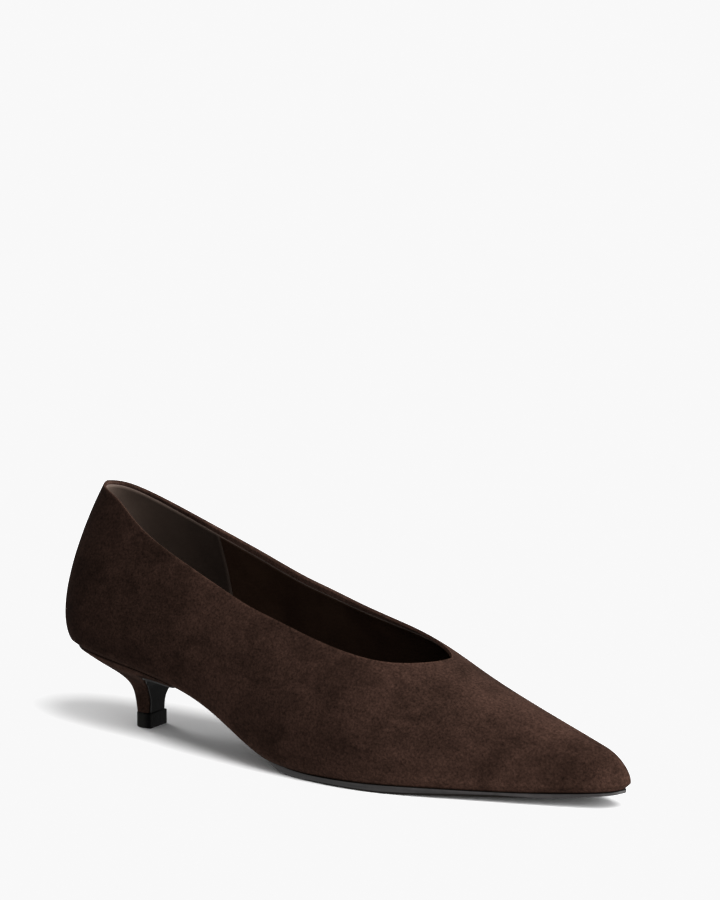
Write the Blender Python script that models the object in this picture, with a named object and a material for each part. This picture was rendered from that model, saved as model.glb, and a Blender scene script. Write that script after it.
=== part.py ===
"""Pointed kitten-heel pump for the right foot, at its real size.

The toe points along +X, +Z is up and the outer side of the foot faces -Y. Sections of the last are placed in
millimetres from the back of the heel, and an empty then carries the finished shoe so that the middle of its
box stands over the origin. Five pieces: upper, insole, outsole, heel and top lift.
"""

import bmesh
import bpy
import numpy as np

MM = 0.001

# Driving sizes, in millimetres
LENGTH = 262.6          # heel to toe along the feather edge, where the upper turns under
BALL_WIDTH = 71.3       # across the feather edge at the ball
INSTEP_HEIGHT = 47.0    # crest of the vamp just behind the throat
SEAT_HEIGHT = 33.3      # feather edge at the back of the heel
BACK_X = 3.4            # feather edge behind the widest swell of the counter
THROAT_X = 184.5        # front of the opening

WALL = 1.8              # suede and lining together
GAP = 0.3               # clearance between pieces that meet
LASTING_MARGIN = 9.0    # width of upper turned under
MARGIN_REACH = 0.45     # most of the way to the middle that the margin may take
FOLD_RISE = 2.4         # height of the first row of the wall over the feather edge
SWELL_PEAK = 0.5        # power that puts the widest part of the wall low down

INSOLE_INSET = 2.5
INSOLE_THICKNESS = 2.0

SOLE_BACK_X = 69.0      # where the sole leaves the upper to bend down the heel
FLAP_THICKNESS = 0.9    # sole over the front of the heel
FLAP_MARGIN = 1.0       # heel cover left bare beside that flap
FLAP_MOST = 22.0        # greatest half width of the flap

HEEL_FRONT_X = 63.4     # front edge of the heel at the seat
HEEL_TURN = 6.0         # degrees that the heel's front is turned, with its inner end further back
HEEL_INSET = 0.1        # heel inside the feather edge
POST_X = 34.0           # middle of the heel post
POST_BACK = 4.4         # post behind its middle
POST_FRONT = 3.2        # post in front of its middle
POST_HALF = 5.9         # half width of the post
POST_STRAIGHT = 0.25    # part of each side of the post that is straight, before it rounds to the back
LIFT_HEIGHT = 6.2
LIFT_BACK = 4.4
LIFT_FRONT = 4.6
LIFT_HALF = 6.3
LIFT_EDGE = 0.4         # rounding of the top lift's edges
LIFT_EDGE_STEPS = 2

# Sections of the last, a row each from heel to toe. "along" is in hundredths of LENGTH, and "outer" and
# "inner" (half widths at the feather edge) in hundredths of BALL_WIDTH. "feather" and "tread" (heights of the
# upper's lower edge and of the sole's underside) are in hundredths of SEAT_HEIGHT, and "crest" (height that
# the wall leans up to) in hundredths of INSTEP_HEIGHT. In millimetres: "arch" lifts the inner side, "lean"
# and "shift" carry the crest along and across, "drop_out" and "drop_in" are the topline below the crest,
# "swell" is the wall's outward curve and "inset" the sole's edge inside the feather edge. "fullness" is the
# power of the section's arc.
COLUMNS = ("along", "outer", "inner", "feather", "tread", "crest", "arch", "lean", "shift",
           "drop_out", "drop_in", "swell", "inset", "fullness")
SECTIONS = (
    (0.0, 0.0, 0.0, 100.0, 94.0, 239.4, 0.0, 19.6, 0.0, 12.5, 12.5, 7.2, 4.0, 1.68),
    (2.3, 21.0, 21.0, 99.6, 93.5, 236.2, 0.0, 18.8, 0.0, 12.9, 12.7, 6.55, 4.0, 1.65),
    (6.5, 30.2, 29.5, 98.6, 92.5, 229.8, 0.0, 16.9, 0.0, 12.9, 13.4, 5.1, 4.0, 1.76),
    (13.0, 33.7, 33.0, 92.4, 86.5, 220.2, 0.0, 12.4, 0.0, 16.4, 14.4, 4.4, 3.0, 1.85),
    (21.4, 34.1, 31.6, 80.4, 74.0, 206.8, 0.0, 6.0, 0.0, 18.9, 14.6, 4.2, 3.2, 2.0),
    (30.9, 35.3, 29.5, 56.5, 51.0, 189.2, 1.0, 3.0, 0.0, 19.9, 13.8, 5.0, 7.0, 2.05),
    (39.7, 40.7, 30.2, 24.6, 19.4, 168.2, 2.6, 1.0, 0.0, 17.6, 10.8, 5.0, 5.5, 2.1),
    (43.9, 44.2, 33.0, 14.0, 7.2, 158.9, 2.6, 0.4, 0.0, 15.9, 9.3, 4.4, 2.6, 2.1),
    (48.1, 47.4, 36.5, 10.0, 1.2, 148.6, 2.0, 0.0, 0.0, 13.9, 7.5, 3.8, 0.6, 2.1),
    (56.5, 50.9, 44.9, 9.0, -0.9, 130.5, 0.5, 0.0, 0.5, 10.5, 4.4, 2.8, -0.5, 2.1),
    (64.1, 49.5, 50.5, 10.2, -0.6, 114.8, 0.0, 0.0, 1.5, 5.85, 1.85, 2.2, -0.6, 2.1),
    (71.0, 43.3, 49.1, 11.7, 1.8, 96.4, 0.0, -0.5, 2.5, -2.4, -0.9, 2.0, -0.6, 2.1),
    (78.6, 33.2, 41.4, 12.6, 5.1, 80.1, 0.0, -1.5, 3.5, -8.0, -6.0, 1.8, -0.6, 2.1),
    (86.3, 22.3, 30.6, 14.1, 7.8, 67.5, 0.0, -3.5, 4.0, -12.0, -12.0, 1.7, -0.6, 2.1),
    (92.7, 12.9, 21.0, 16.8, 11.4, 58.3, 0.0, -6.5, 4.2, -12.0, -12.0, 1.8, -0.6, 2.1),
    (97.1, 6.2, 14.9, 19.5, 15.0, 52.2, 0.0, -9.5, 4.2, -12.0, -12.0, 2.0, -0.6, 2.1),
    (100.0, -5.6, 5.6, 22.2, 18.0, 48.6, 0.0, -13.0, 4.2, -12.0, -12.0, 2.4, -0.6, 2.1),
)

# Sections of the heel, a row each from the post up to the seat: "rise" is the part of the height, and the
# others are the parts of the way from the post's outline to the seat's, at the "back", at the "corner" of
# the front face, and forwards along the front face itself ("breast"). Near the seat the front face runs on
# under the waist as a thin lip.
HEEL_COLUMNS = ("rise", "back", "corner", "breast")
HEEL_SECTIONS = (
    (0.0, 0.0, 0.0, 0.0),
    (0.12, 0.017, 0.0, 0.01),
    (0.28, 0.047, 0.045, 0.03),
    (0.4, 0.087, 0.14, 0.06),
    (0.48, 0.157, 0.21, 0.085),
    (0.56, 0.297, 0.3, 0.12),
    (0.66, 0.5, 0.47, 0.19),
    (0.76, 0.735, 0.66, 0.277),
    (0.85, 0.91, 0.88, 0.416),
    (0.91, 0.965, 0.945, 0.735),
    (0.95, 0.988, 0.975, 0.93),
    (1.0, 1.0, 1.0, 1.0),
)

# How finely the surfaces are divided
STATIONS_BACK = 32      # ribs from heel to throat on each side
STATIONS_FRONT = 17     # ribs from throat to toe on each side
THROAT_CROWDING = 1.7   # power that crowds the ribs towards the throat
WALL_ROWS = 14
WALL_CROWDING = 1.15    # power that crowds the rows towards the feather edge
SOLE_STATIONS = 44
SOLE_CELLS = 8
MARGIN_ROWS = (0.5, 1.0)
INSOLE_STATIONS = 44
INSOLE_CELLS = 6
HEEL_RINGS = 18
RING_CROWDING = 1.35    # power that crowds the heel's rings towards the seat
HEEL_SIDE_POINTS = 17   # from a front corner to the middle of the back
BREAST_CELLS = 6
WELD = 1e-6             # metres

# Colours from 0 to 255, and the power that makes them linear
GAMMA = 2.2
SUEDE = (56, 40, 34)
HEEL_SUEDE = (36, 26, 23)
SOCK_LEATHER = (22, 15, 12)
SOLE_LEATHER = (58, 54, 52)
LIFT_RUBBER = (22, 21, 19)
SUEDE_ROUGHNESS = 0.95
SOCK_ROUGHNESS = 0.6
SOLE_ROUGHNESS = 0.5
RUBBER_ROUGHNESS = 0.55


def natural_spline(knots, values, at):
    """Values at the given places of the natural cubic spline through the knots."""
    step = np.diff(knots)
    slope = np.diff(values) / step
    matrix = np.eye(len(knots))
    right = np.zeros(len(knots))
    inner = np.arange(1, len(knots) - 1)
    matrix[inner, inner - 1] = step[:-1]
    matrix[inner, inner] = 2.0 * (step[:-1] + step[1:])
    matrix[inner, inner + 1] = step[1:]
    right[inner] = 6.0 * np.diff(slope)
    bend = np.linalg.solve(matrix, right)
    cell = np.clip(np.searchsorted(knots, at) - 1, 0, len(step) - 1)
    width = step[cell]
    near = (knots[cell + 1] - at) / width
    far = 1.0 - near
    curve = (near**3 - near) * bend[cell] + (far**3 - far) * bend[cell + 1]
    return near * values[cell] + far * values[cell + 1] + curve * width**2 / 6.0


SECTION_TABLE = dict(zip(COLUMNS, np.array(SECTIONS).T))
SECTION_TURN = np.arccos(1.0 - 2.0 * SECTION_TABLE["along"] / 100.0)
COLUMN_UNIT = {"outer": BALL_WIDTH, "inner": BALL_WIDTH, "feather": SEAT_HEIGHT, "tread": SEAT_HEIGHT,
               "crest": INSTEP_HEIGHT}
HEEL_TABLE = dict(zip(HEEL_COLUMNS, np.array(HEEL_SECTIONS).T))


def column(name, turn):
    """A column of the section table in millimetres. turn runs from 0 at the heel to pi at the toe."""
    unit = COLUMN_UNIT.get(name, 100.0) / 100.0
    return unit * natural_spline(SECTION_TURN, SECTION_TABLE[name], turn)


def turn_at(x):
    along = np.clip((np.asarray(x, float) - BACK_X) / LENGTH, 0.0, 1.0)
    return np.arccos(1.0 - 2.0 * along)


def x_at(turn):
    return BACK_X + LENGTH * (1.0 - np.cos(turn)) / 2.0


def across(x, y):
    """Part of the way from the outer feather edge (0) to the inner one (1)."""
    turn = turn_at(x)
    outer = column("outer", turn)
    width = np.maximum(outer + column("inner", turn), 1.0)
    return np.clip((y + outer) / width, 0.0, 1.0)


def feather_height(x, y):
    turn = turn_at(x)
    return column("feather", turn) + column("arch", turn) * across(x, y)


def tread_height(x, y):
    """Underside of the sole, level on the floor under the ball of the foot."""
    turn = turn_at(x)
    return np.maximum(column("tread", turn) + column("arch", turn) * across(x, y), 0.0)


def feather_point(turn, side):
    """Plan position of the feather edge, on the outer side (-1) or the inner side (+1)."""
    half = column("outer" if side < 0 else "inner", turn)
    return np.stack([x_at(turn), side * half], axis=-1)


def inset_edge(turn, side, inset):
    """The feather edge in plan, moved inwards along its own normal."""
    step = 1e-3
    ahead = feather_point(np.minimum(turn + step, np.pi), side)
    behind = feather_point(np.maximum(turn - step, 0.0), side)
    tangent = ahead - behind
    tangent /= np.linalg.norm(tangent, axis=-1, keepdims=True)
    inwards = np.stack([side * tangent[:, 1], -side * tangent[:, 0]], axis=-1)
    return feather_point(turn, side) + inwards * np.reshape(inset, (-1, 1))


def ribs(turn, side):
    """Outside of the upper: ribs of points (station, row, xyz) from topline or crest down to the feather edge.

    Each rib is an arc of a superellipse from feather edge to crest, swollen outwards and cut at the topline.
    """
    base = feather_point(turn, side)
    foot = feather_height(base[:, 0], base[:, 1])
    crest = np.stack([base[:, 0] + column("lean", turn), column("shift", turn)], axis=-1)
    height = column("crest", turn) - foot
    power = column("fullness", turn)[:, None]
    drop = column("drop_out" if side < 0 else "drop_in", turn)
    reached = np.where(base[:, 0] < THROAT_X, np.clip(1.0 - drop / height, 0.0, 1.0), 1.0)[:, None]
    end = np.arcsin(reached ** (power / 2.0))
    start = np.arcsin((FOLD_RISE / height)[:, None] ** (power / 2.0))
    step = np.linspace(1.0, 0.0, WALL_ROWS)[None, :] ** WALL_CROWDING
    angle = np.concatenate([start + (end - start) * step, np.zeros_like(end)], axis=1)
    rise = np.sin(angle) ** (2.0 / power)
    inwards = 1.0 - np.cos(angle) ** (2.0 / power)
    outwards = base - crest
    outwards /= np.linalg.norm(outwards, axis=1, keepdims=True)
    swell = column("swell", turn)[:, None] * np.sin(np.pi * rise**SWELL_PEAK)
    plan = base[:, None] + (crest - base)[:, None] * inwards[..., None]
    plan += outwards[:, None] * swell[..., None]
    return np.concatenate([plan, (foot[:, None] + height[:, None] * rise)[..., None]], axis=-1)


def margin(turn, side):
    """The lasting margin below each rib: points towards the middle, on the underside of the upper."""
    base = feather_point(turn, side)
    crest = np.stack([base[:, 0] + column("lean", turn), column("shift", turn)], axis=-1)
    reach = np.linalg.norm(crest - base, axis=1)
    part = np.minimum(LASTING_MARGIN / reach, MARGIN_REACH)
    plan = base[:, None] + (crest - base)[:, None] * (part[:, None] * MARGIN_ROWS)[..., None]
    return np.concatenate([plan, feather_height(plan[..., 0], plan[..., 1])[..., None]], axis=-1)


def principled(name, colour, roughness):
    """A plain material from a colour read as 0 to 255."""
    material = bpy.data.materials.new(name)
    material.use_nodes = True
    shader = material.node_tree.nodes["Principled BSDF"]
    linear = [(value / 255.0) ** GAMMA for value in colour]
    shader.inputs["Base Color"].default_value = (*linear, 1.0)
    shader.inputs["Roughness"].default_value = roughness
    shader.inputs["Metallic"].default_value = 0.0
    return material


def add_piece(name, mesh_builder, material, root):
    """A named object from a bmesh in metres, carried by the root."""
    bmesh.ops.remove_doubles(mesh_builder, verts=mesh_builder.verts[:], dist=WELD)
    bmesh.ops.recalc_face_normals(mesh_builder, faces=mesh_builder.faces[:])
    if mesh_builder.calc_volume(signed=True) < 0.0:
        bmesh.ops.reverse_faces(mesh_builder, faces=mesh_builder.faces[:])
    mesh = bpy.data.meshes.new(name)
    mesh_builder.to_mesh(mesh)
    mesh_builder.free()
    mesh.materials.append(material)
    piece = bpy.data.objects.new(name, mesh)
    bpy.context.scene.collection.objects.link(piece)
    piece.parent = root
    return piece


def add_points(builder, points):
    """Vertices for an array of points in millimetres, in an object array of the same shape."""
    flat = points.reshape(-1, 3) * MM
    made = np.empty(len(flat), dtype=object)
    for index, place in enumerate(flat):
        made[index] = builder.verts.new(place)
    return made.reshape(points.shape[:-1])


def add_quads(builder, grid, closed=False):
    """Quads over a grid of vertices. A closed grid joins its last row to its first."""
    rows = len(grid)
    for row in range(rows if closed else rows - 1):
        below, above = grid[row], grid[(row + 1) % rows]
        for cell in range(len(below) - 1):
            builder.faces.new((below[cell], below[cell + 1], above[cell + 1], above[cell]))


def add_slab(builder, top, bottom):
    """A closed solid between two grids of points that share their outline's order."""
    upper_side = add_points(builder, top)
    under_side = add_points(builder, bottom)
    add_quads(builder, upper_side)
    add_quads(builder, under_side[:, ::-1])
    add_quads(builder, np.stack([upper_side[:, 0], under_side[:, 0]]))
    add_quads(builder, np.stack([upper_side[:, -1], under_side[:, -1]]))
    add_quads(builder, np.stack([upper_side[0], under_side[0]]))
    add_quads(builder, np.stack([upper_side[-1], under_side[-1]]))


def crosswise(outer_edge, inner_edge, cells):
    """Plan points on straight lines from one edge to the other, as (station, cell, xy)."""
    part = np.linspace(0.0, 1.0, cells + 1)[None, :, None]
    return outer_edge[:, None] * (1.0 - part) + inner_edge[:, None] * part


def with_height(plan, height):
    return np.concatenate([plan, height[..., None]], axis=-1)


def make_upper(material, root):
    """The suede shell: an outside skin with its margin turned under, made solid inwards."""
    throat = float(turn_at(THROAT_X))
    part = np.linspace(0.0, 1.0, STATIONS_BACK)
    back = throat * (1.0 - (1.0 - part) ** THROAT_CROWDING)
    front = np.linspace(throat, np.pi, STATIONS_FRONT)[1:]
    turn = np.concatenate([back, front])
    sides = [np.concatenate([ribs(turn, side), margin(turn, side)], axis=1) for side in (-1, 1)]
    around = np.concatenate([sides[0], sides[1][-2:0:-1]])
    builder = bmesh.new()
    add_quads(builder, add_points(builder, around), closed=True)
    upper = add_piece("upper", builder, material, root)
    thick = upper.modifiers.new("wall", "SOLIDIFY")
    thick.thickness = WALL * MM
    thick.offset = -1.0
    thick.use_even_offset = True
    thick.use_quality_normals = True
    return upper


def make_insole(material, root):
    """The insole: a board inside the feather edge, lying on the lasting margin."""
    turn = np.linspace(0.0, np.pi, INSOLE_STATIONS)
    plan = crosswise(inset_edge(turn, -1, INSOLE_INSET), inset_edge(turn, 1, INSOLE_INSET), INSOLE_CELLS)
    under = feather_height(plan[..., 0], plan[..., 1]) + WALL + GAP
    builder = bmesh.new()
    add_slab(builder, with_height(plan, under + INSOLE_THICKNESS), with_height(plan, under))
    return add_piece("insole", builder, material, root)


def seat_height(x, y):
    """Top of the heel and of the sole, just clear of the upper."""
    return feather_height(x, y) - GAP


def heel_column(name, rise):
    return natural_spline(HEEL_TABLE["rise"], HEEL_TABLE[name], rise)


def heel_levels():
    """Heights of the heel's rings as parts of its rise, closer together towards the seat."""
    return 1.0 - np.linspace(1.0, 0.0, HEEL_RINGS) ** RING_CROWDING


def turned(plan):
    """Plan points turned with the heel's front, about the middle of the post."""
    angle = np.radians(HEEL_TURN)
    ahead, aside = plan[:, 0] - POST_X, plan[:, 1]
    x = POST_X + ahead * np.cos(angle) - aside * np.sin(angle)
    return np.stack([x, ahead * np.sin(angle) + aside * np.cos(angle)], axis=-1)


def seat_edge(side):
    """The seat's outline on one side, from its corner on the turned front to the middle of the back."""
    half = column("outer" if side < 0 else "inner", turn_at(HEEL_FRONT_X))
    corner_x = HEEL_FRONT_X - side * half * np.tan(np.radians(HEEL_TURN))
    return inset_edge(np.linspace(float(turn_at(corner_x)), 0.0, HEEL_SIDE_POINTS), side, HEEL_INSET)


def heel_outlines():
    """The outlines of post and seat, from the outer front corner round the back to the inner one, and how far
    each of their points is from those corners (0) to the middle of the back (1)."""
    seat = np.concatenate([seat_edge(-1), seat_edge(1)[-2::-1]])
    part = np.linspace(0.0, 1.0, HEEL_SIDE_POINTS)
    straight = np.clip(1.0 - part / POST_STRAIGHT, 0.0, 1.0)
    quarter = np.clip((part - POST_STRAIGHT) / (1.0 - POST_STRAIGHT), 0.0, 1.0) * np.pi / 2.0
    post_x = POST_X + POST_FRONT * straight - POST_BACK * np.sin(quarter)
    post_y = POST_HALF * np.cos(quarter)
    post = np.concatenate([np.stack([post_x, -post_y], -1), np.stack([post_x, post_y], -1)[-2::-1]])
    from_corner = np.concatenate([part, part[-2::-1]])
    return turned(post), seat, from_corner**2 * (3.0 - 2.0 * from_corner)


def heel_rings():
    """Rings of the heel (level, point, xyz), level over the top lift and along the seat at the top."""
    post, seat, back_part = heel_outlines()
    rise = heel_levels()[:, None]
    back, corner, breast = (heel_column(name, rise) for name in ("back", "corner", "breast"))
    x = post[:, 0] + (seat[:, 0] - post[:, 0]) * (breast + (back - breast) * back_part)
    y = post[:, 1] + (seat[:, 1] - post[:, 1]) * (corner + (back - corner) * back_part)
    low = LIFT_HEIGHT + GAP
    return np.stack([x, y, low + (seat_height(x, y) - low) * rise], axis=-1)


def make_heel(material, root):
    """The heel block: rings lofted from the post's outline to the seat's, flat across the front."""
    rings = heel_rings()
    part = np.linspace(0.0, 1.0, BREAST_CELLS + 1)[None, :, None]
    breast_face = rings[:, -1:] * (1.0 - part) + rings[:, :1] * part
    builder = bmesh.new()
    add_quads(builder, add_points(builder, rings))
    add_quads(builder, add_points(builder, breast_face))
    for ring in (rings[0], rings[-1]):
        outer_half = ring[:HEEL_SIDE_POINTS]
        inner_half = ring[:HEEL_SIDE_POINTS - 2:-1]
        cap = outer_half[:, None] * (1.0 - part[0][None]) + inner_half[:, None] * part[0][None]
        add_quads(builder, add_points(builder, cap))
    return add_piece("heel", builder, material, root)


def flap_faces():
    """Both faces of the flap of sole over the heel's front, from the seat down, at an even distance from it."""
    rings = heel_rings()[::-1]
    middle = (rings[:, 0] + rings[:, -1]) / 2.0
    across_front = (rings[:, -1] - rings[:, 0]) / 2.0
    half = np.linalg.norm(across_front, axis=1, keepdims=True)
    along = np.gradient(middle, axis=0)
    facing = np.cross(along, across_front)
    facing /= np.linalg.norm(facing, axis=1, keepdims=True)
    reach = across_front / half * np.minimum(half - FLAP_MARGIN, FLAP_MOST)
    side = np.linspace(-1.0, 1.0, SOLE_CELLS + 1)[None, :, None]
    line = middle[:, None] + reach[:, None] * side
    return [line + facing[:, None] * clear for clear in (GAP, GAP + FLAP_THICKNESS)]


def make_outsole(material, root):
    """The outsole: a sole under the margin from the toe to the waist, carried on down the front of the heel."""
    turn = np.linspace(np.pi, float(turn_at(SOLE_BACK_X)), SOLE_STATIONS)
    inset = column("inset", turn)
    plan = crosswise(inset_edge(turn, -1, inset), inset_edge(turn, 1, inset), SOLE_CELLS)
    top = with_height(plan, seat_height(plan[..., 0], plan[..., 1]))
    bottom = with_height(plan, tread_height(plan[..., 0], plan[..., 1]))
    flap = flap_faces()
    builder = bmesh.new()
    add_slab(builder, np.concatenate([top, flap[0]]), np.concatenate([bottom, flap[1]]))
    return add_piece("outsole", builder, material, root)


def make_top_lift(material, root):
    """The top lift: the post's outline a little larger, extruded up from the floor, with eased edges."""
    quarter = np.linspace(-np.pi / 2.0, np.pi / 2.0, 2 * HEEL_SIDE_POINTS - 1)
    back = np.stack([POST_X - LIFT_BACK * np.cos(quarter), LIFT_HALF * np.sin(quarter)], axis=-1)
    front = np.array([[POST_X + LIFT_FRONT, LIFT_HALF], [POST_X + LIFT_FRONT, -LIFT_HALF]])
    outline = turned(np.concatenate([back, front]))
    builder = bmesh.new()
    floor_face = builder.faces.new(add_points(builder, with_height(outline, np.zeros(len(outline)))))
    raised = bmesh.ops.extrude_face_region(builder, geom=[floor_face], use_keep_orig=True)
    moved = [item for item in raised["geom"] if isinstance(item, bmesh.types.BMVert)]
    bmesh.ops.translate(builder, verts=moved, vec=(0.0, 0.0, LIFT_HEIGHT * MM))
    lift = add_piece("top_lift", builder, material, root)
    ease = lift.modifiers.new("edge", "BEVEL")
    ease.width = LIFT_EDGE * MM
    ease.segments = LIFT_EDGE_STEPS
    ease.limit_method = "ANGLE"
    return lift


def centre_on_origin(root, pieces):
    """Moves the root so that the shoe's box is centred over the origin and its underside is on the floor."""
    corners = np.array([corner for piece in pieces for corner in piece.bound_box])
    low, high = corners.min(axis=0), corners.max(axis=0)
    root.location = (-(low[0] + high[0]) / 2.0, -(low[1] + high[1]) / 2.0, -low[2])


def main():
    for thing in list(bpy.data.objects):
        bpy.data.objects.remove(thing, do_unlink=True)
    root = bpy.data.objects.new("pump", None)
    bpy.context.scene.collection.objects.link(root)
    pieces = [
        make_upper(principled("suede", SUEDE, SUEDE_ROUGHNESS), root),
        make_insole(principled("sock leather", SOCK_LEATHER, SOCK_ROUGHNESS), root),
        make_outsole(principled("sole leather", SOLE_LEATHER, SOLE_ROUGHNESS), root),
        make_heel(principled("heel suede", HEEL_SUEDE, SUEDE_ROUGHNESS), root),
        make_top_lift(principled("lift rubber", LIFT_RUBBER, RUBBER_ROUGHNESS), root),
    ]
    bpy.context.view_layer.update()
    centre_on_origin(root, pieces)


main()
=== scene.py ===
"""Looks of the pointed kitten-heel pump: suede, lining, heel grip, sock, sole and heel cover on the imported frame."""

import math

import bmesh
import bpy
import numpy as np
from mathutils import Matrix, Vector


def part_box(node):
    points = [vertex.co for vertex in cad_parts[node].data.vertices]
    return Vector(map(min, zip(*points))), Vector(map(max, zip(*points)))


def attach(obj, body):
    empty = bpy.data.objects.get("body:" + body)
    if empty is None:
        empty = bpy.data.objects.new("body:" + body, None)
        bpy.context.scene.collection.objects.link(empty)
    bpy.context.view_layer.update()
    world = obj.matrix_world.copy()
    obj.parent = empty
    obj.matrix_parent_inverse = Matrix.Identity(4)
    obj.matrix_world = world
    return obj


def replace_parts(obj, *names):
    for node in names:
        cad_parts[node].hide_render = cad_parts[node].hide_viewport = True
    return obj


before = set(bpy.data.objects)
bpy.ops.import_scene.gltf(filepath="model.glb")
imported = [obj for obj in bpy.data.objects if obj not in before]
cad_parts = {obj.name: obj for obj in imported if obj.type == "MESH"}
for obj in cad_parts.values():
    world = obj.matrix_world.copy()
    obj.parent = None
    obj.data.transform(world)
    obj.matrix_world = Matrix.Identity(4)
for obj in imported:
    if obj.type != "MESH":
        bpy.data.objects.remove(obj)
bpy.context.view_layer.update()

MM = 0.001

# Sizes of the last and of its pieces in millimetres. They are those of the solids, but the flap is thinner, the
# heel cover meets the upper without a gap, and the toe tip swells a little more
LENGTH = 262.6          # heel to toe along the feather edge, where the upper turns under
BALL_WIDTH = 71.3       # across the feather edge at the ball
INSTEP_HEIGHT = 47.0    # crest of the vamp just behind the throat
SEAT_HEIGHT = 33.3      # feather edge at the back of the heel
BACK_X = 3.4            # feather edge behind the widest swell of the counter
THROAT_X = 184.5        # front of the opening
WALL = 1.8              # suede and lining together
GAP = 0.3               # clearance between pieces that meet
LASTING_MARGIN = 9.0    # width of upper turned under
MARGIN_REACH = 0.45     # most of the way to the middle that the margin may take
FOLD_RISE = 2.4         # wall straight up from the feather edge to this height, before it swells
SWELL_PEAK = 0.5        # power that puts the widest part of the wall low down
INSOLE_THICKNESS = 2.0
SOLE_BACK_X = 69.0      # where the sole leaves the upper to bend down the heel
FLAP_THICKNESS = 0.7    # sole over the front of the heel
FLAP_MARGIN = 1.0       # heel cover left bare beside that flap
FLAP_MOST = 22.0        # greatest half width of the flap
HEEL_FRONT_X = 63.4     # front edge of the heel at the seat
HEEL_TURN = 6.0         # degrees that the heel's front is turned, with its inner end further back
HEEL_INSET = -0.35      # heel cover inside the feather edge; less than 0 is outside
HEEL_CLEAR = 0.08       # heel cover below the upper, a crease
POST_X = 34.0           # middle of the heel post
POST_BACK = 4.4         # post behind its middle
POST_FRONT = 3.2        # post in front of its middle
POST_HALF = 5.9         # half width of the post
POST_STRAIGHT = 0.25    # part of each side of the post that is straight, before it rounds to the back
LIFT_HEIGHT = 6.2
LIFT_BACK = 4.4
LIFT_FRONT = 4.6
LIFT_HALF = 6.3

# Sizes of what is only seen here, in millimetres
SUEDE = 1.2             # suede of the upper; the lining fills the rest of the wall
FOLD_EDGE = 0.55        # rounding of the suede's folded topline
FOLD_X = (0.0, 30.0, 60.0, 90.0, 185.0)
FOLD_WIDTH = (1.2, 1.9, 2.7, 3.2, 2.9)  # folded suede that shows inside at those places, over the lining's cut edge
LINING = 0.5            # thickness of the lining
LINING_CLEAR = 0.03     # lining inside the suede
LINING_FOOT = 2.4       # lower edge of the lining over the feather edge
LINING_END_X = 246.0    # where it closes across the toe, out of sight
GRIP_CLEAR = 0.05       # heel grip inside the suede, over the lining's thickness
GRIP = 0.25             # thickness of the heel grip on the lining
GRIP_TOP_X = 57.9       # front edge of the heel grip at the topline
GRIP_FOOT_X = 63.0      # and at the sock
SOCK_CLEAR = 0.25       # sock inside the lining
SOCK_CURL = 0.7         # rise of the sock towards its edge
SOCK_CURL_POWER = 6     # how close to the edge it stays
SOCK_EDGE = 0.5         # rounding of the sock's edge
SOLE_EDGE = 0.35        # and of the sole's
EASE_X = (125.0, 150.0, 222.0, 240.0)
EASE = (0.0, 0.9, 0.9, 0.0)  # rise of the sole's underside at its edge, at those places
EASED_PART = 0.012      # part of the sole's width over which it rises
HEEL_EDGE = 0.2         # rounding of the heel cover's edges
FAR = 50.0              # stands for a place with no edge near it

# Painted shade and light on the suede along the shoe, in metres from its middle: darker towards the back and lighter
# towards the toe, as the light falls off from the toe
PAINTED_SHADE_BACK_X = -0.105     # most
PAINTED_SHADE_FRONT_X = -0.045    # not at all
PAINTED_SHADE_PART = 0.36        # part of its colour that suede loses there
FOLD_PAINTED_SHADE_PART = 0.66   # and that the folded edge loses
PAINTED_LIGHT_START_X = 0.055      # where the painted light begins
PAINTED_LIGHT_TOE_X = 0.13        # and where it is full
PAINTED_LIGHT_PART = 0.16       # part of its colour that it gains there

# Painted light and shade on the other pieces: wholly behind one place and not at all from another, in metres from the
# middle of the shoe, and the part by which the colour is lighter as painted light, or darker below 0 as painted shade
# painted light: the lining lighter at the back, where light reaches into the shoe
LINING_PAINTED_LIGHT = (-0.08, -0.02, 0.5)
# painted light: the heel grip lighter towards the back top of the opening
GRIP_PAINTED_LIGHT = (-0.128, -0.07, 0.6)
# painted highlight: the lining's cut edge lighter at the back
CUT_PAINTED_HIGHLIGHT = (-0.075, -0.045, 0.8)
# painted shade: the sole darker over the heel's breast, under the arch
BREAST_PAINTED_SHADE = (-0.066, -0.045, -0.84)
# painted light: the top lift lighter at its back
LIFT_PAINTED_LIGHT = (-0.0975, -0.0942, 5.0)
# painted shade: the flap's painted edge darker under the arch
FLAP_PAINTED_SHADE = (-0.085, -0.072, -0.6)
NO_PAINTED_LIGHT = (0.0, 1.0, 0.0)

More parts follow.
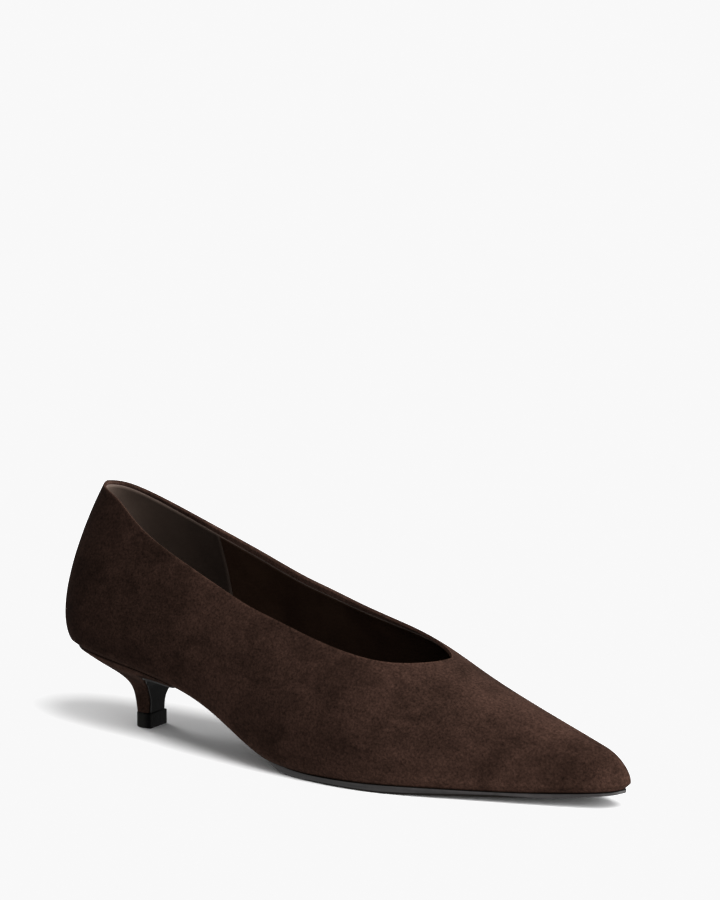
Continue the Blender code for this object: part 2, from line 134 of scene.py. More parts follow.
# Sections of the last, a row each from heel to toe. "along" is in hundredths of LENGTH, and "outer" and
# "inner" (half widths at the feather edge) in hundredths of BALL_WIDTH. "feather" and "tread" (heights of the
# upper's lower edge and of the sole's underside) are in hundredths of SEAT_HEIGHT, and "crest" (height that
# the wall leans up to) in hundredths of INSTEP_HEIGHT. In millimetres: "arch" lifts the inner side, "lean"
# and "shift" carry the crest along and across, "drop_out" and "drop_in" are the topline below the crest,
# "swell" is the wall's outward curve and "inset" the sole's edge inside the feather edge. "fullness" is the
# power of the section's arc.
COLUMNS = ("along", "outer", "inner", "feather", "tread", "crest", "arch", "lean", "shift",
           "drop_out", "drop_in", "swell", "inset", "fullness")
SECTIONS = (
    (0.0, 0.0, 0.0, 100.0, 94.0, 239.4, 0.0, 19.6, 0.0, 12.5, 12.5, 7.2, 4.0, 1.68),
    (2.3, 21.0, 21.0, 99.6, 93.5, 236.2, 0.0, 18.8, 0.0, 12.9, 12.7, 6.55, 4.0, 1.65),
    (6.5, 30.2, 29.5, 98.6, 92.5, 229.8, 0.0, 16.9, 0.0, 12.9, 13.4, 5.1, 4.0, 1.76),
    (13.0, 33.7, 33.0, 92.4, 86.5, 220.2, 0.0, 12.4, 0.0, 16.4, 14.4, 4.4, 3.0, 1.85),
    (21.4, 34.1, 31.6, 80.4, 74.0, 206.8, 0.0, 6.0, 0.0, 18.9, 14.6, 4.2, 3.2, 2.0),
    (30.9, 35.3, 29.5, 56.5, 51.0, 189.2, 1.0, 3.0, 0.0, 19.9, 13.8, 5.0, 7.0, 2.05),
    (39.7, 40.7, 30.2, 24.6, 19.4, 168.2, 2.6, 1.0, 0.0, 17.6, 10.8, 5.0, 5.5, 2.1),
    (43.9, 44.2, 33.0, 14.0, 7.2, 158.9, 2.6, 0.4, 0.0, 15.9, 9.3, 4.4, 2.6, 2.1),
    (48.1, 47.4, 36.5, 10.0, 1.2, 148.6, 2.0, 0.0, 0.0, 13.9, 7.5, 3.8, 0.6, 2.1),
    (56.5, 50.9, 44.9, 9.0, -0.9, 130.5, 0.5, 0.0, 0.5, 10.5, 4.4, 2.8, -0.5, 2.1),
    (64.1, 49.5, 50.5, 10.2, -0.6, 114.8, 0.0, 0.0, 1.5, 5.85, 1.85, 2.2, -0.6, 2.1),
    (71.0, 43.3, 49.1, 11.7, 1.8, 96.4, 0.0, -0.5, 2.5, -2.4, -0.9, 2.0, -0.6, 2.1),
    (78.6, 33.2, 41.4, 12.6, 5.1, 80.1, 0.0, -1.5, 3.5, -8.0, -6.0, 1.8, -0.6, 2.1),
    (86.3, 22.3, 30.6, 14.1, 7.8, 67.5, 0.0, -3.5, 4.0, -12.0, -12.0, 1.7, -0.6, 2.1),
    (92.7, 12.9, 21.0, 16.8, 11.4, 58.3, 0.0, -6.5, 4.2, -12.0, -12.0, 1.8, -0.6, 2.1),
    (97.1, 6.2, 14.9, 19.5, 15.0, 52.2, 0.0, -9.5, 4.2, -12.0, -12.0, 2.3, -0.6, 2.1),
    (100.0, -5.6, 5.6, 22.2, 18.0, 48.6, 0.0, -13.0, 4.2, -12.0, -12.0, 3.0, -0.6, 2.1),
)

# Sections of the heel, a row each from the post up to the seat: "rise" is the part of the height, and the
# others are the parts of the way from the post's outline to the seat's, at the "back", at the "corner" of
# the front face, and forwards along the front face itself ("breast"). Near the seat the front face runs on
# under the waist as a thin lip.
HEEL_COLUMNS = ("rise", "back", "corner", "breast")
HEEL_SECTIONS = (
    (0.0, 0.0, 0.0, 0.0),
    (0.12, 0.017, 0.0, 0.01),
    (0.28, 0.047, 0.045, 0.03),
    (0.4, 0.087, 0.14, 0.06),
    (0.48, 0.146, 0.21, 0.085),
    (0.56, 0.248, 0.3, 0.12),
    (0.66, 0.42, 0.47, 0.19),
    (0.77, 0.688, 0.66, 0.277),
    (0.87, 0.887, 0.88, 0.416),
    (0.93, 0.961, 0.945, 0.735),
    (0.965, 0.989, 0.975, 0.93),
    (1.0, 1.0, 1.0, 1.0),
)

# How finely the surfaces are divided
BACK_STATIONS = 110     # from heel to throat on each side
FRONT_STATIONS = 64     # from throat to toe on each side
THROAT_CROWDING = 1.7   # power that crowds the stations towards the throat
WALL_ROWS = 64
WALL_CROWDING = 1.15    # power that crowds the rows towards the feather edge
LINING_ROWS = 36
FOLD_ROWS = (0.75, 0.5, 0.25, 0.0)
MARGIN_ROWS = (0.3, 0.65, 1.0)
GRIP_STATIONS = 121
GRIP_ROWS = 48
SOLE_STATIONS = 170
SOLE_CELLS = 28
SOCK_STATIONS = 150
SOCK_CELLS = 28
HEEL_RINGS = 72
RING_CROWDING = 1.35    # power that crowds the heel's rings towards the seat
HEEL_SIDE_POINTS = 49   # from a front corner to the middle of the back
BREAST_CELLS = 18
SLOPE_STEP = 1e-3       # step of the differences that give slopes and normals

# Camera of the photograph, in degrees, pixels and millimetres
IMAGE_SIZE = (720, 900)
FOCAL_PIXELS = 4860.0
CAMERA_AZIMUTH = 37.0
CAMERA_PITCH = 10.3
CAMERA_DISTANCE = 2000.0
HEEL_TIP_PIXEL = (149.5, 724.7)
SENSOR = 36.0

# Studio: the light round about, and the lights as direction, strength and angle in degrees that they fill
WORLD_STRENGTH = 0.5
KEY = ((0.92, 0.19, 0.34), 7.6, 70.0)
FLOOR_LIGHTS = {
    "floor_low": ((0.908, -0.243, 0.342), 2.6, 32.0),
    "floor_high": ((0.545, -0.146, 0.826), 2.9, 40.0),
    "floor_back": ((-0.849, 0.326, 0.416), 1.3, 21.5),
}
WHITE = 0.94            # brightest tone, that of the photograph's ground


def spline(knots, values, at):
    """Natural cubic spline through the knots: second slopes from the tridiagonal system, then a cubic a cell."""
    step = np.diff(knots)
    slope = np.diff(values) / step
    matrix = np.eye(len(knots))
    right = np.zeros(len(knots))
    inner = np.arange(1, len(knots) - 1)
    matrix[inner, inner - 1] = step[:-1]
    matrix[inner, inner] = 2.0 * (step[:-1] + step[1:])
    matrix[inner, inner + 1] = step[1:]
    right[inner] = 6.0 * np.diff(slope)
    bend = np.linalg.solve(matrix, right)
    cell = np.clip(np.searchsorted(knots, at) - 1, 0, len(step) - 1)
    width = step[cell]
    near = (knots[cell + 1] - at) / width
    far = 1.0 - near
    curve = (near**3 - near) * bend[cell] + (far**3 - far) * bend[cell + 1]
    return near * values[cell] + far * values[cell + 1] + curve * width**2 / 6.0


SECTION_TABLE = dict(zip(COLUMNS, np.array(SECTIONS).T))
SECTION_TURN = np.arccos(1.0 - 2.0 * SECTION_TABLE["along"] / 100.0)
COLUMN_UNIT = {"outer": BALL_WIDTH, "inner": BALL_WIDTH, "feather": SEAT_HEIGHT, "tread": SEAT_HEIGHT,
               "crest": INSTEP_HEIGHT}
HEEL_TABLE = dict(zip(HEEL_COLUMNS, np.array(HEEL_SECTIONS).T))


def column(name, turn):
    """A column of the section table in millimetres. turn runs from 0 at the heel to pi at the toe."""
    unit = COLUMN_UNIT.get(name, 100.0) / 100.0
    return unit * spline(SECTION_TURN, SECTION_TABLE[name], turn)


def sided(outer_name, inner_name, turn, side):
    """One column on the outer side (-1) and another on the inner side (+1)."""
    return np.where(side < 0, column(outer_name, turn), column(inner_name, turn))


def turn_at(x):
    along = np.clip((np.asarray(x, float) - BACK_X) / LENGTH, 0.0, 1.0)
    return np.arccos(1.0 - 2.0 * along)


def x_at(turn):
    return BACK_X + LENGTH * (1.0 - np.cos(turn)) / 2.0


def unit(vectors):
    return vectors / np.linalg.norm(vectors, axis=-1, keepdims=True)


def across(x, y):
    """Part of the way from the outer feather edge (0) to the inner one (1)."""
    turn = turn_at(x)
    outer = column("outer", turn)
    width = np.maximum(outer + column("inner", turn), 1.0)
    return np.clip((y + outer) / width, 0.0, 1.0)


def feather_height(x, y):
    """Height of the upper's underside: the section's feather height, tilted up to the inner side by its arch."""
    turn = turn_at(x)
    return column("feather", turn) + column("arch", turn) * across(x, y)


def tread_height(x, y):
    """Underside of the sole, tilted as the feather edge is, and level on the floor under the ball."""
    turn = turn_at(x)
    return np.maximum(column("tread", turn) + column("arch", turn) * across(x, y), 0.0)


def seat_height(x, y):
    """Top of the heel and of the sole, just clear of the upper."""
    return feather_height(x, y) - GAP


def feather_edge(turn, side, inset):
    """Plan line of the feather edge, moved inwards along its own normal by inset."""
    def line(at):
        return np.stack([x_at(at), side * sided("outer", "inner", at, side)], axis=-1)

    tangent = unit(line(np.minimum(turn + SLOPE_STEP, np.pi)) - line(np.maximum(turn - SLOPE_STEP, 0.0)))
    inwards = np.stack([side * tangent[..., 1], -side * tangent[..., 0]], axis=-1)
    return line(turn) + inwards * np.asarray(inset)[..., None]


def skin(turn, side, angle):
    """Outside of the upper. At each turn a superellipse arc climbs from the feather edge (angle 0) to the crest
    (a quarter turn), and is swollen outwards by a sine of the root of its rise."""
    x = x_at(turn)
    y = side * sided("outer", "inner", turn, side)
    foot = feather_height(x, y)
    height = column("crest", turn) - foot
    power = column("fullness", turn)
    rise = np.sin(angle) ** (2.0 / power)
    inwards = 1.0 - np.cos(angle) ** (2.0 / power)
    to_crest = np.stack([column("lean", turn) + 0.0 * y, column("shift", turn) - y], axis=-1)
    swell = column("swell", turn) * np.sin(np.pi * rise**SWELL_PEAK)
    plan = np.stack([x, y], axis=-1) + to_crest * inwards[..., None] - unit(to_crest) * swell[..., None]
    return np.concatenate([plan, (foot + height * rise)[..., None]], axis=-1)


def skin_slopes(turn, side, angle):
    """Slopes of the skin along turn and along angle, by central differences kept inside the quarter turn."""
    angle = np.clip(angle, 2.0 * SLOPE_STEP, np.pi / 2.0 - 2.0 * SLOPE_STEP)
    along = skin(turn + SLOPE_STEP, side, angle) - skin(turn - SLOPE_STEP, side, angle)
    climb = skin(turn, side, angle + SLOPE_STEP) - skin(turn, side, angle - SLOPE_STEP)
    return along / (2.0 * SLOPE_STEP), climb / (2.0 * SLOPE_STEP)


def skin_normal(turn, side, angle):
    """Outward normal of the skin: the cross product of its two slopes."""
    along, climb = skin_slopes(turn, side, angle)
    return unit(np.cross(along, climb)) * -np.broadcast_to(side, along.shape[:-1])[..., None]


def angle_at_rise(turn, side, height_above):
    """Angle at which the skin is so many millimetres above its feather edge."""
    x = x_at(turn)
    y = side * sided("outer", "inner", turn, side)
    part = np.clip(height_above / (column("crest", turn) - feather_height(x, y)), 0.0, 1.0)
    return np.arcsin(part ** (column("fullness", turn) / 2.0))


def topline(folds):
    """The cut line of the opening, moved into the skin by so many widths of the fold: turn, side and angle of its
    points once round, from the heel along the outer side to the throat and back along the inner side.

    The line is where the drop below the crest meets the skin. The step into the skin is square to the line and
    lies in the surface, so its parts along turn and angle are solved from the skin's two slopes.
    """
    part = np.linspace(0.0, 1.0, BACK_STATIONS)
    back = float(turn_at(THROAT_X)) * (1.0 - (1.0 - part) ** THROAT_CROWDING)
    turn = np.concatenate([back, back[-2:0:-1]])
    side = np.concatenate([np.full(BACK_STATIONS, -1.0), np.full(BACK_STATIONS - 2, 1.0)])
    x = x_at(turn)
    y = side * sided("outer", "inner", turn, side)
    height = column("crest", turn) - feather_height(x, y)
    drop = np.maximum(sided("drop_out", "drop_in", turn, side), 0.0)
    angle = angle_at_rise(turn, side, height - drop)
    angle[BACK_STATIONS - 1] = np.pi / 2.0
    line = skin(turn, side, angle)
    inset = folds * np.interp(x, FOLD_X, FOLD_WIDTH)
    ahead = np.roll(line, -1, axis=0) - np.roll(line, 1, axis=0)
    upwards = unit(np.cross(skin_normal(turn, side, angle), ahead))
    along, climb = skin_slopes(turn, side, angle)
    square = (along * along).sum(-1), (along * climb).sum(-1), (climb * climb).sum(-1)
    wanted = -inset * (along * upwards).sum(-1), -inset * (climb * upwards).sum(-1)
    scale = square[0] * square[2] - square[1] ** 2
    turn = turn + (wanted[0] * square[2] - wanted[1] * square[1]) / scale
    angle = angle + (wanted[1] * square[0] - wanted[0] * square[1]) / scale
    turn[0] = 0.0
    angle[BACK_STATIONS - 1] = np.pi / 2.0
    return turn, side, np.minimum(angle, np.pi / 2.0)


def wall_stations(folds, front_end):
    """Turn, side and top angle of a wall's stations once round: the topline less so many folds behind the throat,
    and the crest in front of it, along the outer side to the turn where the wall ends and back along the inner side."""
    turn, side, angle = topline(folds)
    throat = BACK_STATIONS - 1
    front = np.linspace(turn[throat], front_end, FRONT_STATIONS)[1:]
    front = np.concatenate([front, front[-2::-1], turn[throat:throat + 1]])
    front_side = np.where(np.arange(len(front)) < FRONT_STATIONS - 1, -1.0, 1.0)
    whole_turn = np.concatenate([turn[:throat + 1], front, turn[throat + 1:]])
    whole_side = np.concatenate([side[:throat + 1], front_side, side[throat + 1:]])
    whole_angle = np.concatenate([angle[:throat + 1], np.full(len(front), np.pi / 2.0), angle[throat + 1:]])
    return whole_turn[:, None], whole_side[:, None], whole_angle[:, None]


def row_steps(rows, crowding):
    return np.linspace(1.0, 0.0, rows)[None, :] ** crowding


def row_length(points):
    """Length along each rib, from its first row."""
    step = np.linalg.norm(np.diff(points, axis=1), axis=-1)
    return np.concatenate([np.zeros((len(points), 1)), np.cumsum(step, axis=1)], axis=1)


def crosswise(outer_edge, inner_edge, part):
    """Plan points on straight lines from one edge (part 0) to the other (part 1), as (station, point, xy)."""
    part = part[None, :, None]
    return outer_edge[:, None] * (1.0 - part) + inner_edge[:, None] * part


def with_height(plan, height):
    return np.concatenate([plan, height[..., None]], axis=-1)


def grid_faces(rows, columns, closed):
    """Corner numbers of the quads of a grid, a row of four each. A closed grid joins its last row to its first."""
    row = np.arange(rows if closed else rows - 1)[:, None]
    cell = np.arange(columns - 1)[None, :]
    after = (row + 1) % rows
    corners = row * columns + cell, row * columns + cell + 1, after * columns + cell + 1, after * columns + cell
    return np.stack(corners, axis=-1).reshape(-1, 4)


class Value:
    """An output of a finish's nodes. Arithmetic on it adds Math nodes to the same finish."""

    def __init__(self, finish, socket):
        self.finish = finish
        self.socket = socket

    def math(self, operation, first, second):
        return self.finish.node("ShaderNodeMath", {"operation": operation}, {0: first, 1: second})

    def __add__(self, other):
        return self.math("ADD", self, other)

    def __radd__(self, other):
        return self.math("ADD", other, self)

    def __sub__(self, other):
        return self.math("SUBTRACT", self, other)

    def __rsub__(self, other):
        return self.math("SUBTRACT", other, self)

    def __mul__(self, other):
        return self.math("MULTIPLY", self, other)

    def __rmul__(self, other):
        return self.math("MULTIPLY", other, self)


class Finish:
    """A material: a Principled shader with plain values, and the nodes that vary its colour, gloss and relief."""

    def __init__(self, name, plain):
        self.material = bpy.data.materials.new(name)
        self.material.use_nodes = True
        self.tree = self.material.node_tree
        self.shader = self.tree.nodes["Principled BSDF"]
        self.feed(self.shader, plain)
        self.place = self.node("ShaderNodeTexCoord", {}, {}, "Object")

    def feed(self, node, inputs):
        for name, value in inputs.items():
            if isinstance(value, Value):
                self.tree.links.new(value.socket, node.inputs[name])
            else:
                node.inputs[name].default_value = value

    def node(self, kind, settings, inputs, output=0):
        """A node of any kind: its settings first, then the values or links of its sockets."""
        made = self.tree.nodes.new(kind)
        for name, value in settings.items():
            setattr(made, name, value)
        self.feed(made, inputs)
        return Value(self, made.outputs[output])

    def noise(self, scale, detail=2.0, roughness=0.5, distortion=0.0, stretch=(1.0, 1.0, 1.0)):
        """Noise with so many features a metre, drawn out where stretch is small."""
        place = self.node("ShaderNodeMapping", {}, {"Vector": self.place, "Scale": stretch})
        return self.node("ShaderNodeTexNoise", {}, {"Vector": place, "Scale": scale, "Detail": detail,
                                                    "Roughness": roughness, "Distortion": distortion}, "Fac")

    def cells(self, scale):
        """Distance to the middle of small irregular cells, so many a metre."""
        return self.node("ShaderNodeTexVoronoi", {"feature": "F1"}, {"Vector": self.place, "Scale": scale},
                         "Distance")

    def fade(self, value, low, high):
        """0 up to low and 1 from high, with a smooth step between."""
        return self.node("ShaderNodeMapRange", {"interpolation_type": "SMOOTHSTEP"},
                         {"Value": value, "From Min": low, "From Max": high})

    def attribute(self, name):
        return self.node("ShaderNodeAttribute", {"attribute_name": name}, {}, "Fac")

    def mix(self, factor, first, second):
        """From the first colour to the second by the factor."""
        return self.node("ShaderNodeMix", {"data_type": "RGBA"}, {0: factor, 6: first, 7: second}, 2)

    def scaled(self, colour, factor):
        return self.node("ShaderNodeVectorMath", {"operation": "SCALE"}, {0: colour, "Scale": factor})

    def along(self):
        """Place along the shoe, in metres from its middle towards the toe."""
        return self.node("ShaderNodeSeparateXYZ", {}, {0: self.place})

    def painted_light_along(self, colour, most, none, part):
        """Painted light: the colour made lighter by a part, or darker as painted shade when the part is below 0, wholly
        behind one place along the shoe and not at all from another.
        """
        return self.scaled(colour, 1.0 + (1.0 - self.fade(self.along(), most, none)) * part)

    def bump(self, height, distance, under=None):
        """Relief of the given depth in metres, on top of another relief."""
        inputs = {"Height": height, "Distance": distance, "Strength": 1.0}
        if under is not None:
            inputs["Normal"] = under
        return self.node("ShaderNodeBump", {}, inputs)

    def done(self, inputs):
        self.feed(self.shader, inputs)
        return self.material


def linear(red, green, blue):
    """A colour given as it is seen, from 0 to 255, as the linear values that a shader takes."""
    return (*[((value / 255.0 + 0.055) / 1.055) ** 2.4 for value in (red, green, blue)], 1.0)


def suede_finish(name, dark, light, painted_shade_part):
    """Brushed suede: broad patches where the nap lies another way, short strokes along them, fine grain and pale
    flecks, a fold edge made lighter by wear and a painted highlight, painted light on the lower wall with a dark line
    of painted shade at its foot, painted shade towards the back and painted light towards the toe, under a soft sheen
    of fibre ends."""
    finish = Finish(name, {"Sheen Weight": 0.02, "Sheen Roughness": 0.55, "Sheen Tint": linear(168, 132, 114),
                           "Specular IOR Level": 0.03})
    patch = finish.fade(finish.noise(44.0, 3.0, 0.55, 0.8), 0.33, 0.68)
    stroke = finish.fade(finish.noise(120.0, 3.0, 0.6, 0.5, (0.55, 1.0, 1.25)), 0.32, 0.7)
    mottle = finish.fade(finish.noise(330.0, 4.0, 0.7, 0.4, (0.75, 1.0, 1.0)), 0.36, 0.66)
    grain = finish.noise(1050.0, 4.0, 0.75)
    fibre = finish.noise(1900.0, 2.0, 0.6)
    fleck = finish.fade(finish.noise(1250.0, 1.0), 0.64, 0.76)
    lie = patch * 0.5 + stroke * 0.28 + mottle * 0.22
    # wear and a painted highlight: the suede lighter within about a millimetre of the folded topline
    wear_and_highlight = 1.0 - finish.fade(finish.attribute("edge_mm"), 0.1, 1.4)
    # painted shade: a dark line in the crease along the feather edge
    foot = 1.0 - finish.fade(finish.attribute("foot_mm"), 0.2, 0.9)
    # painted light: the lower wall lighter, where it faces down into shade
    low = 1.0 - finish.fade(finish.attribute("foot_mm"), 1.0, 8.0)
    # painted shade: the suede darker towards the back of the shoe
    painted_back_shade = 1.0 - finish.fade(finish.along(), PAINTED_SHADE_BACK_X, PAINTED_SHADE_FRONT_X)
    # painted light: the suede lighter towards the toe
    ahead = finish.fade(finish.along(), PAINTED_LIGHT_START_X, PAINTED_LIGHT_TOE_X)
    shade = 1.0 + wear_and_highlight * 0.4 + low * 0.5 - foot * 0.75 - painted_back_shade * painted_shade_part + ahead * PAINTED_LIGHT_PART
    shade = shade * (grain * 3.2 + fleck * 0.15 - 0.62)
    colour = finish.scaled(finish.mix(lie, dark, light), shade)
    relief = finish.bump(patch * 0.5 + stroke * 0.5, 0.0002)
    relief = finish.bump(grain * 0.6 + fibre * 0.4, 0.00006, relief)
    return finish.done({"Base Color": colour, "Roughness": 0.98 - grain * 0.12, "Normal": relief})


def leather_finish(name, dark, light, gloss, grain_scale, grain_depth, wear, painted_light=NO_PAINTED_LIGHT):
    """Smooth leather: cloudy tone, pebbled grain in small cells with finer pores, and scuffs that dull the gloss.
    painted_light tells where along the shoe its painted light is fullest, where it has its plain colour, and by what
    part it is lighter; below 0 it is painted shade and darker."""
    finish = Finish(name, {"Specular IOR Level": 0.04})
    cloud = finish.fade(finish.noise(38.0, 3.0, 0.55, 0.4), 0.3, 0.7)
    pore = finish.fade(finish.noise(grain_scale * 2.2, 2.0), 0.35, 0.7)
    cell = finish.cells(grain_scale)
    scuff = finish.fade(finish.noise(210.0, 4.0, 0.7, 1.5, (0.35, 1.0, 1.0)), 0.55, 0.75)
    colour = finish.painted_light_along(finish.mix(cloud * 0.6 + pore * 0.25 + scuff * wear, dark, light), *painted_light)
    relief = finish.bump(cell * 0.7 + pore * 0.3, grain_depth)
    return finish.done({"Base Color": colour, "Roughness": gloss + cloud * 0.08 + scuff * 0.14 - cell * 0.05,
                        "Normal": relief})


def edge_finish(name, dark, light, gloss, painted_light=NO_PAINTED_LIGHT):
    """A cut and painted edge: fine lines along it where the layers and the brush show, and small dull spots.
    painted_light is the painted light or shade along the shoe, as for leather."""
    finish = Finish(name, {"Specular IOR Level": 0.45})
    line = finish.fade(finish.noise(900.0, 3.0, 0.6, 0.3, (0.04, 0.04, 1.0)), 0.3, 0.7)
    spot = finish.fade(finish.noise(420.0, 3.0, 0.6), 0.4, 0.75)
    colour = finish.painted_light_along(finish.mix(line * 0.5 + spot * 0.4, dark, light), *painted_light)
    relief = finish.bump(line * 0.6 + spot * 0.4, 0.00006)
    return finish.done({"Base Color": colour, "Roughness": gloss + spot * 0.18, "Normal": relief})


def rubber_finish(name, dark, light, painted_light):
    """Hard moulded rubber: a matt skin with fine pits and a few lighter rubs. painted_light is the painted light along
    the shoe, as for leather.
    """
    finish = Finish(name, {"Specular IOR Level": 0.03})
    pit = finish.fade(finish.noise(1500.0, 2.0), 0.3, 0.7)
    rub = finish.fade(finish.noise(300.0, 4.0, 0.7, 1.0, (1.0, 1.0, 2.5)), 0.52, 0.78)
    colour = finish.painted_light_along(finish.mix(pit * 0.3 + rub * 0.5, dark, light), *painted_light)
    return finish.done({"Base Color": colour, "Roughness": 0.5 + pit * 0.12 + rub * 0.1,
                        "Normal": finish.bump(pit, 0.00008)})


def floor_finish():
    """Plain pale studio floor with the faintest tooth."""
    finish = Finish("studio_floor", {"Specular IOR Level": 0.0, "Roughness": 1.0})
    tooth = finish.noise(300.0, 2.0)
    return finish.done({"Base Color": finish.mix(tooth, linear(243, 243, 243), linear(245, 245, 245))})


def add_piece(name, patches, materials, closed_solid, weld=1e-6, attributes=None):
    """A piece from grids of points in the shoe's millimetres: (points, material number, closed) each.

    The grids' quads become one mesh in the frame's metres, points that meet are welded, and a closed solid has its
    faces turned outwards by the sign of its volume.
    """
    flat = np.concatenate([points.reshape(-1, 3) for points, _, _ in patches])
    starts = np.cumsum([0] + [points.shape[0] * points.shape[1] for points, _, _ in patches])
    faces = [grid_faces(points.shape[0], points.shape[1], closed) + start
             for (points, _, closed), start in zip(patches, starts)]
    numbers = np.concatenate([np.full(len(quads), number) for quads, (_, number, _) in zip(faces, patches)])
    mesh = bpy.data.meshes.new(name)
    mesh.from_pydata((flat * MM + SHOE_ORIGIN).tolist(), [], np.concatenate(faces).tolist())
    mesh.polygons.foreach_set("material_index", numbers.astype(np.int32))
    for attribute, values in (attributes or {}).items():
        layer = mesh.attributes.new(attribute, "FLOAT", "POINT")
        layer.data.foreach_set("value", values.astype(np.float32).ravel())
    builder = bmesh.new()
    builder.from_mesh(mesh)
    bmesh.ops.remove_doubles(builder, verts=builder.verts[:], dist=weld)
    if closed_solid:
        bmesh.ops.recalc_face_normals(builder, faces=builder.faces[:])
        if builder.calc_volume(signed=True) < 0.0:
            bmesh.ops.reverse_faces(builder, faces=builder.faces[:])
    builder.to_mesh(mesh)
    builder.free()
    mesh.polygons.foreach_set("use_smooth", np.ones(len(mesh.polygons), bool))
    for material in materials:
        mesh.materials.append(material)
    piece = bpy.data.objects.new(name, mesh)
    bpy.context.scene.collection.objects.link(piece)
    return piece


def thicken(piece, thickness, rim_material, inside_material=0):
    """Solid inwards from the skin. Rim and inside take the materials that are so many places after the skin's."""
    wall = piece.modifiers.new("wall", "SOLIDIFY")
    wall.thickness = thickness * MM
    wall.offset = -1.0
    wall.use_quality_normals = True
    wall.material_offset_rim = rim_material
    wall.material_offset = inside_material


def ease_edges(piece, width, segments, angle):
    """Rounds the edges that are sharper than angle."""
    edge = piece.modifiers.new("edge", "BEVEL")
    edge.width = width * MM
    edge.segments = segments
    edge.limit_method = "ANGLE"
    edge.angle_limit = math.radians(angle)


def slab(top, bottom):
    """The six grids of a solid between two grids of points that share their outline's order: both faces take the
    first material and the cut edges the second."""
    edges = [np.stack([top[:, 0], bottom[:, 0]]), np.stack([top[:, -1], bottom[:, -1]]),
             np.stack([top[0], bottom[0]]), np.stack([top[-1], bottom[-1]])]
    return [(top, 0, False), (bottom[:, ::-1], 0, False)] + [(edge, 1, False) for edge in edges]


def make_upper(finish, inside):
    """The suede: the skin once round from topline or crest to the feather edge, then the lasting margin turned
    under towards the middle, made solid inwards with a rounded fold along the topline."""
    turn, side, top = wall_stations(0.0, np.pi)
    fold = angle_at_rise(turn, side, FOLD_RISE)
    wall = skin(turn, side, fold + (top - fold) * row_steps(WALL_ROWS, WALL_CROWDING))
    feather = skin(turn, side, 0.0 * top)
    base = feather[:, 0, :2]
    part = np.array(FOLD_ROWS)[None, :, None]
    wall = np.concatenate([wall, feather + (wall[:, -1:] - feather) * part], axis=1)
    crest = np.stack([base[:, 0] + column("lean", turn[:, 0]), column("shift", turn[:, 0])], axis=-1)
    part = np.minimum(LASTING_MARGIN / np.linalg.norm(crest - base, axis=1), MARGIN_REACH)
    plan = base[:, None] + (crest - base)[:, None] * (part[:, None] * MARGIN_ROWS)[..., None]
    points = np.concatenate([wall, with_height(plan, feather_height(plan[..., 0], plan[..., 1]))], axis=1)
    length = row_length(points)
    throat = BACK_STATIONS - 1
    from_throat = np.where(top < np.pi / 2.0, 0.0, np.linalg.norm(wall[:, :1] - wall[throat, 0], axis=-1))
    last = wall.shape[1] - 1
    foot = np.abs(length[:, last:last + 1] - length)
    # edge_mm carries the wear and painted highlight along the topline; foot_mm carries the painted light and shade near
    # the feather edge
    piece = add_piece("suede_upper", [(points, 0, True)], [finish, inside], False,
                      attributes={"edge_mm": length + from_throat, "foot_mm": foot})
    # the inside takes the lighter suede, painted light on the folded edge
    thicken(piece, SUEDE, 0, 1)
    ease_edges(piece, FOLD_EDGE, 4, 60.0)
    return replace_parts(piece, "upper")


def make_lining(finish, cut):
    """The lining: the skin moved inwards by the suede's thickness, from below the folded edge down behind the
    sock, made solid inwards. Its cut edge is the lighter line under the fold."""
    turn, side, top = wall_stations(1.0, float(turn_at(LINING_END_X)))
    foot = angle_at_rise(turn, side, LINING_FOOT)
    angle = foot + (top - foot) * row_steps(LINING_ROWS, 1.0)
    points = skin(turn, side, angle) - skin_normal(turn, side, angle) * (SUEDE + LINING_CLEAR)
    piece = add_piece("lining", [(points, 0, True)], [finish, cut], False, weld=1e-4)
    thicken(piece, LINING, 1)
    return piece


def make_heel_grip(finish):
    """The heel grip: the same skin moved in as far as the lining's face, round the back of the heel between two
    front edges that lean forwards as they go down, made solid inwards."""
    line_turn, line_side, line_angle = topline(1.0)
    station = np.linspace(-1.0, 1.0, GRIP_STATIONS)[:, None]
    down = 1.0 - row_steps(GRIP_ROWS, 1.0)
    front = GRIP_TOP_X + (GRIP_FOOT_X - GRIP_TOP_X) * down
    turn = np.abs(station) * turn_at(front)
    side = np.where(station < 0, -1.0, 1.0) + 0.0 * turn
    outer, inner = line_side < 0, np.concatenate([[True], line_side[1:] > 0])
    inner_order = np.argsort(line_turn[inner])
    top = np.where(side < 0, np.interp(turn, line_turn[outer], line_angle[outer]),
                   np.interp(turn, line_turn[inner][inner_order], line_angle[inner][inner_order]))
    foot = angle_at_rise(turn, side, LINING_FOOT)
    angle = top + (foot - top) * down
    points = skin(turn, side, angle) - skin_normal(turn, side, angle) * (SUEDE + LINING + GRIP_CLEAR)
    piece = add_piece("heel_grip", [(points[::-1], 0, False)], [finish], False)
    thicken(piece, GRIP, 0)
    return piece


